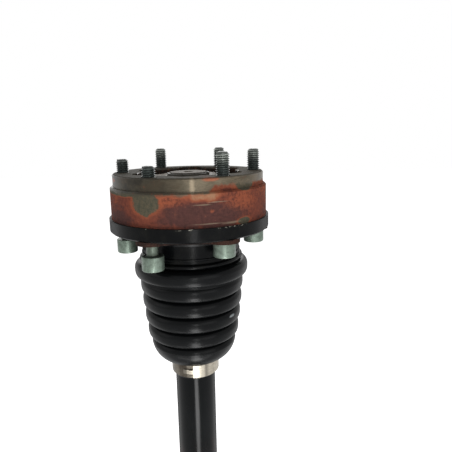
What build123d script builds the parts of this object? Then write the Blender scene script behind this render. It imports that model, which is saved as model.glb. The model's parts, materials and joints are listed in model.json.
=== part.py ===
"""Drive shaft with a six-bolt plunging ball joint at the gearbox end and a fixed ball joint at the wheel end.

Millimetres, +Z up. The origin is the centre of the gearbox joint's bolting face, and the shaft hangs
below it along -Z. The six flange screws stand on the bolt circle at 0, 60, 120, 180, 240 and 300 degrees.
"""

from build123d import *
import os
from math import cos, degrees, radians, sin, sqrt

os.makedirs("parts", exist_ok=True)

# Gearbox joint: outer ring
bolt_circle_radius = 42.0
ring_edge_beyond_bolts = 8.0
ring_height = 34.5
register_step = 1.95
register_height = 7.8
step_chamfer = 0.9
edge_chamfer = 0.8
bore_chamfer = 1.0
cutter_overrun = 1.0

# Flange screws, socket heads underneath, and the plates under their heads
screw_count = 6
thread_radius = 4.0
thread_length = 24.0
shank_radius = 3.55
screw_length = 52.0
screw_hole_clearance = 0.2
screw_tip_chamfer = 0.9
head_radius = 6.65
head_height = 9.0
head_chamfer = 0.5
socket_across_flats = 6.0
socket_depth = 4.5
screw_drops = [0.0, 0.0, 0.0, 5.0, 7.2, 0.0]
plate_thickness = 2.6
plate_end_radius = 9.4
plate_waist = 12.0
plate_waist_fillet = 4.0
plate_inner_reach = 6.3
plate_hole_clearance = 0.4

# Pressed boot cap
sheet = 1.4
cap_clearance = 0.1
cap_rim_height = 8.2
cap_dish_clearance = 0.3
cap_dish_depth = 6.5
cap_dish_taper = 3.4
neck_depth = 19.4
roll_radius = 1.7
bead_radius = 0.9
bead_above_roll = 4.3

# Ball set shared by both joints
ball_count = 6
ball_radius = 7.94
window_clearance = 0.08
window_width = 18.4
window_corner = 3.0

# Gearbox joint: inner parts
inner_centre_depth = 15.7
inner_pitch_radius = 29.5
inner_track_clearance = 0.4
inner_race_below_pitch = 2.5
inner_race_half_width = 13.2
inner_cage_half_width = 11.5
inner_cage_thickness = 4.3
cage_running_gap = 0.4
cage_race_gap = 0.3

# Shaft bar
joint_distance = 430.0
bar_radius = 13.8
waist_radius = 12.0
collar_radius = 15.0
collar_width = 3.0
spline_core_radius = 12.3
spline_tooth_height = 0.8
spline_tooth_width = 1.5
spline_teeth = 24
spline_gap = 0.1
end_chamfer = 1.0
centre_hole_radius = 3.2
centre_hole_depth = 5.0
end_stand_out = 2.2
waist_blend = 6.0

# Circlips and washers
clip_thickness = 1.5
clip_groove_depth = 1.0
clip_height = 2.2
clip_open_angle = 28.0
dish_thickness = 1.3
dish_rise = 1.0
dish_radius = 18.5
thrust_ring_thickness = 1.6
washer_gap = 0.15

# Gearbox end boot: crest radii are steps out from the cap's neck
boot_wall = 2.0
boot_pitch = 10.66
boot_crest_steps = [5.6, 2.3, 1.4, 0.3, -1.0, -3.2]
boot_first_crest_below_lip = 2.9
boot_end_below_last_crest = 13.9
boot_depth = 4.2
boot_rise_share = 0.2627
boot_fall_share = 0.666
boot_shoulder_angle = 75.0
boot_fold = 1.2
boot_lip_gap = 0.3
boot_sleeve_gap = 0.4
boot_tail_length = 12.0
boot_tail_wall = 1.65
boot_tail_taper = 1.6
boot_belly_out = 0.63
boot_belly_up = 0.33

# Band clamps
clamp_thickness = 0.6
clamp_width = 9.0
clamp_inset = 1.4
clamp_gap = 0.05
tab_length = 7.0
tab_width = 5.5
tab_thickness = 1.1
tab_angle = 262.0

# Wheel joint: bell housing and stub axle
bell_radius = 41.5
bell_seat_step = 1.1
bell_mouth_height = 14.0
bell_seat_height = 11.0
bell_skirt_depth = 14.0
bell_back_radius = 24.0
bell_back_depth = 33.0
bell_knee_step = 5.0
bell_knee_depth = 26.0
bell_floor_depth = 27.0
bell_floor_radius = 20.0
bell_wall_end_depth = 15.0
bell_lip_height = 10.0
bell_mouth_step = 0.3
stub_shoulder_depth = 36.0
bearing_seat_radius = 17.5
bearing_seat_length = 10.0
stub_spline_radius = 13.0
stub_spline_length = 38.0
stub_tooth_depth = 0.9
stub_teeth = 26
stub_thread_radius = 10.0
stub_thread_length = 22.0
stub_relief = 1.0

# Wheel joint: inner parts
outer_pitch_radius = 29.0
outer_track_clearance = 0.86
outer_track_down = 38.0
outer_race_below_pitch = 2.5
outer_race_half_width = 12.5
outer_cage_half_width = 12.0
outer_cage_thickness = 4.2
bell_running_gap = 0.3

# Wheel end boot
outer_boot_crests = 5
outer_boot_first_over_sleeve = 0.15
outer_boot_last_over_tail = 10.2
outer_boot_first_crest_over_mouth = 8.5
outer_boot_last_crest_below_end = 12.0
outer_boot_end_height = 76.0
outer_boot_sleeve_wall = 2.4

# Places that follow from the sizes above
quarter_turn = 90.0
ring_radius = bolt_circle_radius + ring_edge_beyond_bolts
register_radius = ring_radius - register_step
screw_hole_radius = thread_radius + screw_hole_clearance
inner_centre = -inner_centre_depth
outer_centre = inner_centre - joint_distance
inner_track_radius = ball_radius + inner_track_clearance
outer_track_radius = ball_radius + outer_track_clearance
inner_race_radius = inner_pitch_radius - inner_race_below_pitch
outer_race_radius = outer_pitch_radius - outer_race_below_pitch
inner_cage_radius = inner_race_radius + cage_race_gap + inner_cage_thickness
outer_cage_radius = outer_race_radius + cage_race_gap + outer_cage_thickness
ring_bore_radius = inner_cage_radius + cage_running_gap
cavity_radius = outer_cage_radius + bell_running_gap
cap_bottom = -ring_height - sheet
cap_radius = ring_radius + cap_clearance + sheet
plate_inner_radius = bolt_circle_radius - plate_inner_reach
cap_dish_radius = plate_inner_radius - cap_dish_clearance
neck_radius = cap_dish_radius - cap_dish_taper
plate_bottom = cap_bottom - plate_thickness
roll_centre = cap_bottom - neck_depth
lip_height = roll_centre - roll_radius - boot_lip_gap
inner_first_track = 30.0
outer_first_track = 0.0
spline_radius = spline_core_radius + spline_tooth_height
boot_bore_radius = bar_radius + clamp_gap
tail_radius = boot_bore_radius + boot_tail_wall
bell_seat_radius = bell_radius - bell_seat_step
outer_boot_end = outer_centre + outer_boot_end_height


def circle_half_height(radius, height):
    """Distance from the axis of a sphere's surface at this height above its centre."""
    return sqrt(radius * radius - height * height)


def spaced_angles(count, first=0.0):
    """Evenly spaced angles round the axis, in degrees."""
    return [first + 360.0 * number / count for number in range(count)]


def draw_cage_profile(outer_radius, inner_radius, half_width, centre):
    """Barrel-shaped ring section: a spherical outside and a spherical inside."""
    outer_edge = circle_half_height(outer_radius, half_width)
    inner_edge = circle_half_height(inner_radius, half_width)
    ThreePointArc((outer_edge, centre + half_width), (outer_radius, centre), (outer_edge, centre - half_width))
    Line((outer_edge, centre - half_width), (inner_edge, centre - half_width))
    ThreePointArc((inner_edge, centre - half_width), (inner_radius, centre), (inner_edge, centre + half_width))
    Line((inner_edge, centre + half_width), (outer_edge, centre + half_width))


def draw_race_profile(race_radius, bore_radius, half_width, centre):
    """Spherical outside and a plain bore."""
    edge = circle_half_height(race_radius, half_width)
    ThreePointArc((edge, centre + half_width), (race_radius, centre), (edge, centre - half_width))
    Line((edge, centre - half_width), (bore_radius, centre - half_width))
    Line((bore_radius, centre - half_width), (bore_radius, centre + half_width))
    Line((bore_radius, centre + half_width), (edge, centre + half_width))


def cut_windows(outer_radius, centre, first_angle):
    """One rounded window in the cage for each ball."""
    for angle in spaced_angles(ball_count, first_angle):
        outwards = (cos(radians(angle)), sin(radians(angle)), 0)
        sideways = (-sin(radians(angle)), cos(radians(angle)), 0)
        with BuildSketch(Plane(origin=(0, 0, centre), x_dir=sideways, z_dir=outwards)) as window:
            RectangleRounded(window_width, 2 * (ball_radius + window_clearance), window_corner)
        extrude(window.sketch, amount=outer_radius + cutter_overrun, mode=Mode.SUBTRACT)


def cut_curved_tracks(centre, first_angle, up, down):
    """Ball tracks as arcs about the joint's centre, one for each ball."""
    for angle in spaced_angles(ball_count, first_angle):
        outwards = Vector(cos(radians(angle)), sin(radians(angle)), 0)
        sideways = Vector(-sin(radians(angle)), cos(radians(angle)), 0)
        start = outwards * cos(radians(down)) - Vector(0, 0, sin(radians(down)))
        with BuildSketch(Plane(origin=(0, 0, centre), x_dir=start, z_dir=start.cross(sideways))) as track:
            with Locations((outer_pitch_radius, 0)):
                Circle(outer_track_radius)
        revolve(
            track.sketch,
            axis=Axis((0, 0, centre), tuple(sideways * -1)),
            revolution_arc=up + down,
            mode=Mode.SUBTRACT,
        )


def cut_spline_bore(centre, half_width):
    """Tooth spaces in a race's bore, a little wider and deeper than the shaft's teeth."""
    depth = spline_tooth_height + 2 * spline_gap
    with Locations((0, 0, centre)):
        with PolarLocations(spline_core_radius + spline_gap + depth / 2 - 0.5, spline_teeth):
            Box(depth + 1, spline_tooth_width + 2 * spline_gap, 2 * half_width + 1, mode=Mode.SUBTRACT)


def convolution_heights(crests):
    """Rise above and fall below a crest, as shares of the distance between crests."""
    pitch = abs(crests[1][1] - crests[0][1])
    return boot_rise_share * pitch, boot_fall_share * pitch


def draw_bellows(crests, side, inset, tail):
    """Rounds and folds of one wall of a boot, then its end down to the point tail on the sleeve.

    Side is 1 where the boot narrows downwards and -1 where it narrows upwards. The inside wall has
    the same line, inset by the wall, without the first convolution's shoulder.
    """
    turn = radians(boot_shoulder_angle)
    rise, fall = convolution_heights(crests)
    previous = None
    for number, (radius, height) in enumerate(crests):
        crest = (radius - inset, height)
        shoulder = (crest[0] - boot_depth * (1 - cos(turn)), height + side * rise * sin(turn))
        if previous:
            fold = (min(previous[0], shoulder[0]) - boot_fold, (previous[1] + shoulder[1]) / 2)
            Line(previous, fold)
            Line(fold, shoulder)
        if previous or not inset:
            round_radius = crest[0] - boot_depth * (1 - cos(turn / 2))
            ThreePointArc(shoulder, (round_radius, height + side * rise * sin(turn / 2)), crest)
        if number < len(crests) - 1:
            round_radius = crest[0] - boot_depth * (1 - cos(turn / 2))
            previous = (crest[0] - boot_depth * (1 - cos(turn)), height - side * fall * sin(turn))
            ThreePointArc(crest, (round_radius, height - side * fall * sin(turn / 2)), previous)
        else:
            belly = (
                tail[0] + (crest[0] - tail[0]) * boot_belly_out,
                tail[1] + (crest[1] - tail[1]) * boot_belly_up,
            )
            ThreePointArc(crest, belly, tail)


def shoulder_of(crests, side):
    """Where the first convolution's shoulder starts."""
    turn = radians(boot_shoulder_angle)
    radius, height = crests[0]
    return (radius - boot_depth * (1 - cos(turn)), height + side * convolution_heights(crests)[0] * sin(turn))


def draw_boot_tail(end, side):
    """Sleeve at the small end, tapered to the bar below the clamp, and its bore."""
    taper_start = end - side * (boot_tail_length - boot_tail_taper)
    tip = end - side * boot_tail_length
    Polyline(
        (tail_radius, end),
        (tail_radius, taper_start),
        (boot_bore_radius + boot_tail_wall / 3, tip),
        (boot_bore_radius, tip),
        (boot_bore_radius, end + side * boot_wall),
    )


# Gearbox joint

with BuildPart() as inner_joint_ring:
    with BuildSketch(Plane.XZ):
        with BuildLine():
            Polyline(
                (ring_bore_radius + bore_chamfer, 0),
                (register_radius - edge_chamfer, 0),
                (register_radius, -edge_chamfer),
                (register_radius, -register_height),
                (ring_radius - step_chamfer, -register_height),
                (ring_radius, -register_height - step_chamfer),
                (ring_radius, -ring_height + edge_chamfer),
                (ring_radius - edge_chamfer, -ring_height),
                (ring_bore_radius + bore_chamfer, -ring_height),
                (ring_bore_radius, -ring_height + bore_chamfer),
                (ring_bore_radius, -bore_chamfer),
                close=True,
            )
        make_face()
    revolve(axis=Axis.Z)
    with PolarLocations(inner_pitch_radius, ball_count, start_angle=inner_first_track):
        Cylinder(inner_track_radius, 2 * (ring_height + cutter_overrun), mode=Mode.SUBTRACT)
    with PolarLocations(bolt_circle_radius, screw_count):
        Cylinder(screw_hole_radius, 2 * (ring_height + cutter_overrun), mode=Mode.SUBTRACT)
inner_joint_ring.part.label = "inner_joint_ring"
export_step(inner_joint_ring.part, "parts/inner_joint_ring.step")

with BuildPart() as inner_joint_cage:
    with BuildSketch(Plane.XZ):
        with BuildLine():
            draw_cage_profile(
                inner_cage_radius, inner_race_radius + cage_race_gap, inner_cage_half_width, inner_centre
            )
        make_face()
    revolve(axis=Axis.Z)
    cut_windows(inner_cage_radius, inner_centre, inner_first_track)
inner_joint_cage.part.label = "inner_joint_cage"
export_step(inner_joint_cage.part, "parts/inner_joint_cage.step")

with BuildPart() as inner_joint_balls:
    with Locations((0, 0, inner_centre)):
        with PolarLocations(inner_pitch_radius, ball_count, start_angle=inner_first_track):
            Sphere(ball_radius)
inner_joint_balls.part.label = "inner_joint_balls"
export_step(inner_joint_balls.part, "parts/inner_joint_balls.step")

with BuildPart() as inner_joint_race:
    with BuildSketch(Plane.XZ):
        with BuildLine():
            draw_race_profile(
                inner_race_radius, spline_core_radius + spline_gap, inner_race_half_width, inner_centre
            )
        make_face()
    revolve(axis=Axis.Z)
    with Locations((0, 0, inner_centre)):
        with PolarLocations(inner_pitch_radius, ball_count, start_angle=inner_first_track):
            Cylinder(inner_track_radius, 2 * (inner_race_half_width + cutter_overrun), mode=Mode.SUBTRACT)
    cut_spline_bore(inner_centre, inner_race_half_width)
inner_joint_race.part.label = "inner_joint_race"
export_step(inner_joint_race.part, "parts/inner_joint_race.step")


def make_circlip(bottom):
    """Snap ring's section, turned through most of a circle so that its ends stay apart."""
    groove_radius = spline_core_radius - clip_groove_depth + spline_gap
    with BuildSketch(Plane.XZ) as section:
        with Locations((groove_radius + clip_height / 2, bottom + clip_thickness / 2)):
            Rectangle(clip_height, clip_thickness)
    revolve(section.sketch, axis=Axis.Z, revolution_arc=360 - clip_open_angle)


def make_dished_washer(bore_radius, bottom, rise):
    """Conical spring washer, its outer edge higher by the rise."""
    with BuildSketch(Plane.XZ) as section:
        with BuildLine():
            Polyline(
                (bore_radius, bottom),
                (dish_radius, bottom + rise),
                (dish_radius, bottom + rise + dish_thickness),
                (bore_radius, bottom + dish_thickness),
                close=True,
            )
        make_face()
    revolve(section.sketch, axis=Axis.Z)


inner_race_top = inner_centre + inner_race_half_width
inner_race_bottom = inner_centre - inner_race_half_width
inner_collar_top = inner_race_bottom - dish_rise - dish_thickness - 2 * washer_gap

with BuildPart() as inner_race_circlip:
    make_circlip(inner_race_top + washer_gap / 2)
inner_race_circlip.part.label = "inner_race_circlip"
export_step(inner_race_circlip.part, "parts/inner_race_circlip.step")

with BuildPart() as inner_dished_washer:
    make_dished_washer(spline_radius + spline_gap, inner_collar_top + washer_gap, dish_rise)
inner_dished_washer.part.label = "inner_dished_washer"
export_step(inner_dished_washer.part, "parts/inner_dished_washer.step")

with BuildPart() as boot_cap:
    neck_top = cap_bottom - cap_dish_depth
    with BuildSketch(Plane.XZ):
        with BuildLine():
            Polyline(
                (cap_radius, cap_bottom + cap_rim_height),
                (cap_radius, cap_bottom + edge_chamfer),
                (cap_radius - edge_chamfer, cap_bottom),
                (cap_dish_radius, cap_bottom),
                (neck_radius, neck_top),
                (neck_radius, roll_centre),
                (neck_radius - sheet, roll_centre),
                (neck_radius - sheet, neck_top),
                (cap_dish_radius - sheet, cap_bottom + sheet),
                (cap_radius - sheet, cap_bottom + sheet),
                (cap_radius - sheet, cap_bottom + cap_rim_height),
                close=True,
            )
        make_face()
    revolve(axis=Axis.Z)
    with Locations((0, 0, roll_centre)):
        Torus(neck_radius - sheet + roll_radius, roll_radius)
    with Locations((0, 0, roll_centre + bead_above_roll)):
        Torus(neck_radius - bead_radius / 2, bead_radius)
    with Locations((0, 0, cap_bottom + sheet / 2)):
        with PolarLocations(bolt_circle_radius, screw_count):
            Cylinder(screw_hole_radius + plate_hole_clearance, 2 * sheet, mode=Mode.SUBTRACT)
boot_cap.part.label = "boot_cap"
export_step(boot_cap.part, "parts/boot_cap.step")

with BuildPart() as flange_screws:
    for angle, drop in zip(spaced_angles(screw_count), screw_drops):
        seat = plate_bottom - drop
        tip = seat + screw_length
        x = bolt_circle_radius * cos(radians(angle))
        y = bolt_circle_radius * sin(radians(angle))
        with BuildSketch(Plane(origin=(x, y, 0), x_dir=(1, 0, 0), z_dir=(0, -1, 0))):
            with BuildLine():
                Polyline(
                    (0, tip),
                    (thread_radius - screw_tip_chamfer, tip),
                    (thread_radius, tip - screw_tip_chamfer),
                    (thread_radius, tip - thread_length),
                    (shank_radius, tip - thread_length - thread_radius + shank_radius),
                    (shank_radius, seat),
                    (head_radius - head_chamfer, seat),
                    (head_radius, seat - head_chamfer),
                    (head_radius, seat - head_height + head_chamfer),
                    (head_radius - head_chamfer, seat - head_height),
                    (0, seat - head_height),
                    close=True,
                )
            make_face()
        revolve(axis=Axis((x, y, 0), (0, 0, 1)))
        with BuildSketch(Plane(origin=(x, y, seat - head_height))):
            RegularPolygon(socket_across_flats / 2, 6, major_radius=False)
        extrude(amount=socket_depth, mode=Mode.SUBTRACT)
flange_screws.part.label = "flange_screws"
export_step(flange_screws.part, "parts/flange_screws.step")


def make_backing_plate(first_angle):
    """Waisted two-hole plate under a pair of neighbouring screw heads, hollowed round the cap's neck."""
    between = 360.0 / screw_count
    middle_radius = bolt_circle_radius * cos(radians(between / 2))
    hole_distance = 2 * bolt_circle_radius * sin(radians(between / 2))
    holes = PolarLocations(
        bolt_circle_radius, 2, start_angle=first_angle, angular_range=between, endpoint=True
    )
    with BuildSketch(Plane.XY.offset(plate_bottom)) as outline:
        with holes:
            Circle(plate_end_radius)
        with PolarLocations(middle_radius, 1, start_angle=first_angle + between / 2):
            Rectangle(plate_waist, hole_distance)
        waist_corners = [corner for corner in outline.vertices() if corner.center().length < ring_radius - 2]
        waist_corners = [corner for corner in waist_corners if corner.center().length > middle_radius]
        fillet(waist_corners, plate_waist_fillet)
        Circle(plate_inner_radius, mode=Mode.SUBTRACT)
        with holes:
            Circle(thread_radius + plate_hole_clearance, mode=Mode.SUBTRACT)
    extrude(outline.sketch, amount=plate_thickness)


with BuildPart() as backing_plate_right:
    make_backing_plate(0)
backing_plate_right.part.label = "backing_plate_right"
export_step(backing_plate_right.part, "parts/backing_plate_right.step")

with BuildPart() as backing_plate_left:
    make_backing_plate(120)
backing_plate_left.part.label = "backing_plate_left"
export_step(backing_plate_left.part, "parts/backing_plate_left.step")

with BuildPart() as backing_plate_front:
    make_backing_plate(240)
backing_plate_front.part.label = "backing_plate_front"
export_step(backing_plate_front.part, "parts/backing_plate_front.step")

# Gearbox end boot

boot_crests = [
    (neck_radius + step, lip_height - boot_first_crest_below_lip - boot_pitch * number)
    for number, step in enumerate(boot_crest_steps)
]
boot_end = boot_crests[-1][1] - boot_end_below_last_crest
sleeve_radius = neck_radius - sheet - boot_sleeve_gap
sleeve_top = roll_centre + bead_above_roll

with BuildPart() as inner_boot:
    with BuildSketch(Plane.XZ):
        with BuildLine():
            first_crest = boot_crests[0]
            inside_crest = (first_crest[0] - boot_wall, first_crest[1])
            draw_bellows(boot_crests, 1, 0, (tail_radius, boot_end))
            draw_bellows(boot_crests, 1, boot_wall, (boot_bore_radius, boot_end + boot_wall))
            draw_boot_tail(boot_end, 1)
            Polyline(
                shoulder_of(boot_crests, 1),
                (sleeve_radius, lip_height),
                (sleeve_radius, sleeve_top),
                (sleeve_radius - boot_wall, sleeve_top),
                (sleeve_radius - boot_wall, lip_height - boot_wall),
                (inside_crest[0] - boot_fold, lip_height - boot_wall),
                inside_crest,
            )
        make_face()
    revolve(axis=Axis.Z)
inner_boot.part.label = "inner_boot"
export_step(inner_boot.part, "parts/inner_boot.step")


def make_band_clamp(seat_radius, middle):
    """Flat steel band with its folded end and lock tab standing a little proud."""
    inside = seat_radius + clamp_gap
    with BuildSketch(Plane.XY.offset(middle - clamp_width / 2)) as band:
        Circle(inside + clamp_thickness)
        Circle(inside, mode=Mode.SUBTRACT)
    extrude(band.sketch, amount=clamp_width)
    with BuildSketch(Plane.XY.offset(middle - tab_width / 2)) as tab:
        with BuildLine():
            outside = inside + clamp_thickness
            span = degrees(tab_length / outside)
            outer_edge = CenterArc((0, 0), outside + tab_thickness, tab_angle - span / 2, span)
            inner_edge = CenterArc((0, 0), outside - clamp_thickness / 2, tab_angle - span / 2, span)
            Line(outer_edge @ 0, inner_edge @ 0)
            Line(outer_edge @ 1, inner_edge @ 1)
        make_face()
    extrude(tab.sketch, amount=tab_width)


with BuildPart() as inner_boot_clamp:
    make_band_clamp(tail_radius, boot_end - clamp_inset - clamp_width / 2)
inner_boot_clamp.part.label = "inner_boot_clamp"
export_step(inner_boot_clamp.part, "parts/inner_boot_clamp.step")

# Shaft bar, splined at both ends

outer_race_top = outer_centre + outer_race_half_width
outer_race_bottom = outer_centre - outer_race_half_width
outer_collar_bottom = (
    outer_race_top + dish_rise + dish_thickness + thrust_ring_thickness + 3 * washer_gap
)
bar_top = inner_race_top + end_stand_out
bar_bottom = outer_race_bottom - end_stand_out
groove_radius = spline_core_radius - clip_groove_depth
waist_end = boot_end + waist_blend
outer_waist_end = outer_boot_end - waist_blend

with BuildPart() as shaft_bar:
    with BuildSketch(Plane.XZ):
        with BuildLine():
            Polyline(
                (0, bar_top - centre_hole_depth),
                (centre_hole_radius, bar_top),
                (spline_core_radius - end_chamfer / 2, bar_top),
                (spline_core_radius, bar_top - end_chamfer / 2),
                (groove_radius, bar_top - end_chamfer / 2),
                (groove_radius, inner_race_top),
                (spline_core_radius, inner_race_top),
                (spline_core_radius, inner_collar_top),
                (collar_radius, inner_collar_top),
                (collar_radius, inner_collar_top - collar_width),
                (waist_radius, inner_collar_top - 2 * collar_width),
                (waist_radius, waist_end + waist_blend),
                (bar_radius, waist_end),
                (bar_radius, outer_waist_end),
                (waist_radius, outer_waist_end - waist_blend),
                (waist_radius, outer_collar_bottom + 2 * collar_width),
                (collar_radius, outer_collar_bottom + collar_width),
                (collar_radius, outer_collar_bottom),
                (spline_core_radius, outer_collar_bottom),
                (spline_core_radius, outer_race_bottom),
                (groove_radius, outer_race_bottom),
                (groove_radius, bar_bottom + end_chamfer / 2),
                (spline_core_radius, bar_bottom + end_chamfer / 2),
                (spline_core_radius - end_chamfer / 2, bar_bottom),
                (0, bar_bottom),
                close=True,
            )
        make_face()
    revolve(axis=Axis.Z)
    tooth_radius = spline_core_radius + spline_tooth_height / 2 - 0.5
    with Locations((0, 0, (inner_race_top + inner_collar_top) / 2)):
        with PolarLocations(tooth_radius, spline_teeth):
            Box(spline_tooth_height + 1, spline_tooth_width, inner_race_top - inner_collar_top)
    with Locations((0, 0, (outer_collar_bottom + outer_race_bottom) / 2)):
        with PolarLocations(tooth_radius, spline_teeth):
            Box(spline_tooth_height + 1, spline_tooth_width, outer_collar_bottom - outer_race_bottom)
shaft_bar.part.label = "shaft_bar"
export_step(shaft_bar.part, "parts/shaft_bar.step")

# Wheel joint

with BuildPart() as outer_joint_housing:
    stub_top = outer_centre - stub_shoulder_depth
    spline_top = stub_top - bearing_seat_length
    thread_top = spline_top - stub_spline_length
    stub_end = thread_top - stub_thread_length
    with BuildSketch(Plane.XZ):
        with BuildLine():
            lip = (circle_half_height(cavity_radius, bell_lip_height), outer_centre + bell_lip_height)
            wall_end = (
                circle_half_height(cavity_radius, bell_wall_end_depth),
                outer_centre - bell_wall_end_depth,
            )
            mouth = outer_centre + bell_mouth_height
            ThreePointArc(lip, (cavity_radius, outer_centre), wall_end)
            skirt = (bell_radius, outer_centre - bell_skirt_depth)
            back = (bell_back_radius, outer_centre - bell_back_depth)
            Polyline(
                wall_end,
                (bell_floor_radius, outer_centre - bell_floor_depth),
                (0, outer_centre - bell_floor_depth),
                (0, stub_end),
                (stub_thread_radius - end_chamfer, stub_end),
                (stub_thread_radius, stub_end + end_chamfer),
                (stub_thread_radius, thread_top - stub_relief),
                (stub_thread_radius - stub_relief, thread_top - stub_relief),
                (stub_thread_radius - stub_relief, thread_top),
                (stub_spline_radius - end_chamfer, thread_top),
                (stub_spline_radius, thread_top + end_chamfer),
                (stub_spline_radius, spline_top),
                (bearing_seat_radius - end_chamfer, spline_top),
                (bearing_seat_radius, spline_top + end_chamfer),
                (bearing_seat_radius, stub_top),
                (bell_back_radius, stub_top),
                back,
            )
            ThreePointArc(back, (bell_radius - bell_knee_step, outer_centre - bell_knee_depth), skirt)
            Polyline(
                skirt,
                (bell_radius, mouth - bell_seat_height),
                (bell_seat_radius, mouth - bell_seat_height),
                (bell_seat_radius, mouth - edge_chamfer),
                (bell_seat_radius - edge_chamfer, mouth),
                (cavity_radius - bell_mouth_step, mouth),
                lip,
            )
        make_face()
    revolve(axis=Axis.Z)
    cut_curved_tracks(outer_centre, outer_first_track, quarter_turn, outer_track_down)
    with Locations((0, 0, (thread_top + spline_top) / 2)):
        with PolarLocations(stub_spline_radius, stub_teeth):
            Box(2 * stub_tooth_depth, spline_tooth_width, stub_spline_length, mode=Mode.SUBTRACT)
outer_joint_housing.part.label = "outer_joint_housing"
export_step(outer_joint_housing.part, "parts/outer_joint_housing.step")

with BuildPart() as outer_joint_cage:
    with BuildSketch(Plane.XZ):
        with BuildLine():
            draw_cage_profile(
                outer_cage_radius, outer_race_radius + cage_race_gap, outer_cage_half_width, outer_centre
            )
        make_face()
    revolve(axis=Axis.Z)
    cut_windows(outer_cage_radius, outer_centre, outer_first_track)
outer_joint_cage.part.label = "outer_joint_cage"
export_step(outer_joint_cage.part, "parts/outer_joint_cage.step")

with BuildPart() as outer_joint_balls:
    with Locations((0, 0, outer_centre)):
        with PolarLocations(outer_pitch_radius, ball_count, start_angle=outer_first_track):
            Sphere(ball_radius)
outer_joint_balls.part.label = "outer_joint_balls"
export_step(outer_joint_balls.part, "parts/outer_joint_balls.step")

with BuildPart() as outer_joint_race:
    with BuildSketch(Plane.XZ):
        with BuildLine():
            draw_race_profile(
                outer_race_radius, spline_core_radius + spline_gap, outer_race_half_width, outer_centre
            )
        make_face()
    revolve(axis=Axis.Z)
    cut_curved_tracks(outer_centre, outer_first_track, quarter_turn, quarter_turn)
    cut_spline_bore(outer_centre, outer_race_half_width)
outer_joint_race.part.label = "outer_joint_race"
export_step(outer_joint_race.part, "parts/outer_joint_race.step")

with BuildPart() as outer_race_circlip:
    make_circlip(outer_race_bottom - clip_thickness - washer_gap / 2)
outer_race_circlip.part.label = "outer_race_circlip"
export_step(outer_race_circlip.part, "parts/outer_race_circlip.step")

with BuildPart() as outer_dished_washer:
    make_dished_washer(spline_radius + spline_gap, outer_race_top + washer_gap, dish_rise)
outer_dished_washer.part.label = "outer_dished_washer"
export_step(outer_dished_washer.part, "parts/outer_dished_washer.step")

with BuildPart() as outer_thrust_ring:
    with BuildSketch(Plane.XY.offset(outer_collar_bottom - washer_gap - thrust_ring_thickness)):
        Circle(dish_radius)
        Circle(spline_radius + spline_gap, mode=Mode.SUBTRACT)
    extrude(amount=thrust_ring_thickness)
outer_thrust_ring.part.label = "outer_thrust_ring"
export_step(outer_thrust_ring.part, "parts/outer_thrust_ring.step")

# Wheel end boot

outer_sleeve_radius = bell_seat_radius + clamp_gap + outer_boot_sleeve_wall
outer_sleeve_top = outer_centre + bell_mouth_height + boot_lip_gap
outer_sleeve_bottom = outer_sleeve_top - bell_seat_height
first_radius = outer_sleeve_radius + outer_boot_first_over_sleeve
last_radius = tail_radius + outer_boot_last_over_tail
first_height = outer_centre + bell_mouth_height + outer_boot_first_crest_over_mouth
last_height = outer_boot_end - outer_boot_last_crest_below_end
outer_crests = []
for number in range(outer_boot_crests):
    share = number / (outer_boot_crests - 1)
    radius = first_radius + (last_radius - first_radius) * share
    outer_crests.append((radius, first_height + (last_height - first_height) * share))

with BuildPart() as outer_boot:
    with BuildSketch(Plane.XZ):
        with BuildLine():
            first_crest = outer_crests[0]
            inside_crest = (first_crest[0] - boot_wall, first_crest[1])
            shoulder = shoulder_of(outer_crests, -1)
            draw_bellows(outer_crests, -1, 0, (tail_radius, outer_boot_end))
            draw_bellows(outer_crests, -1, boot_wall, (boot_bore_radius, outer_boot_end - boot_wall))
            draw_boot_tail(outer_boot_end, -1)
            Polyline(
                shoulder,
                (shoulder[0] - boot_fold, outer_sleeve_top + boot_fold),
                (outer_sleeve_radius, outer_sleeve_top),
                (outer_sleeve_radius, outer_sleeve_bottom),
                (bell_seat_radius + clamp_gap, outer_sleeve_bottom),
                (bell_seat_radius + clamp_gap, outer_sleeve_top),
                (shoulder[0] - boot_fold - boot_wall, outer_sleeve_top),
                inside_crest,
            )
        make_face()
    revolve(axis=Axis.Z)
outer_boot.part.label = "outer_boot"
export_step(outer_boot.part, "parts/outer_boot.step")

with BuildPart() as outer_boot_large_clamp:
    make_band_clamp(outer_sleeve_radius, (outer_sleeve_top + outer_sleeve_bottom) / 2)
outer_boot_large_clamp.part.label = "outer_boot_large_clamp"
export_step(outer_boot_large_clamp.part, "parts/outer_boot_large_clamp.step")

with BuildPart() as outer_boot_small_clamp:
    make_band_clamp(tail_radius, outer_boot_end + clamp_inset + clamp_width / 2)
outer_boot_small_clamp.part.label = "outer_boot_small_clamp"
export_step(outer_boot_small_clamp.part, "parts/outer_boot_small_clamp.step")
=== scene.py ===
"""Used car drive shaft: finishes for its machined pieces, and modelled screws, bellows and clamps.

The shaft hangs from its bolting face at the origin, with its bar along -Z. Meshes and nodes are in
metres, and the constants of pieces and finishes in millimetres.
"""

import json
import math

import bmesh
import bpy
from mathutils import Matrix, Vector


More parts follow.
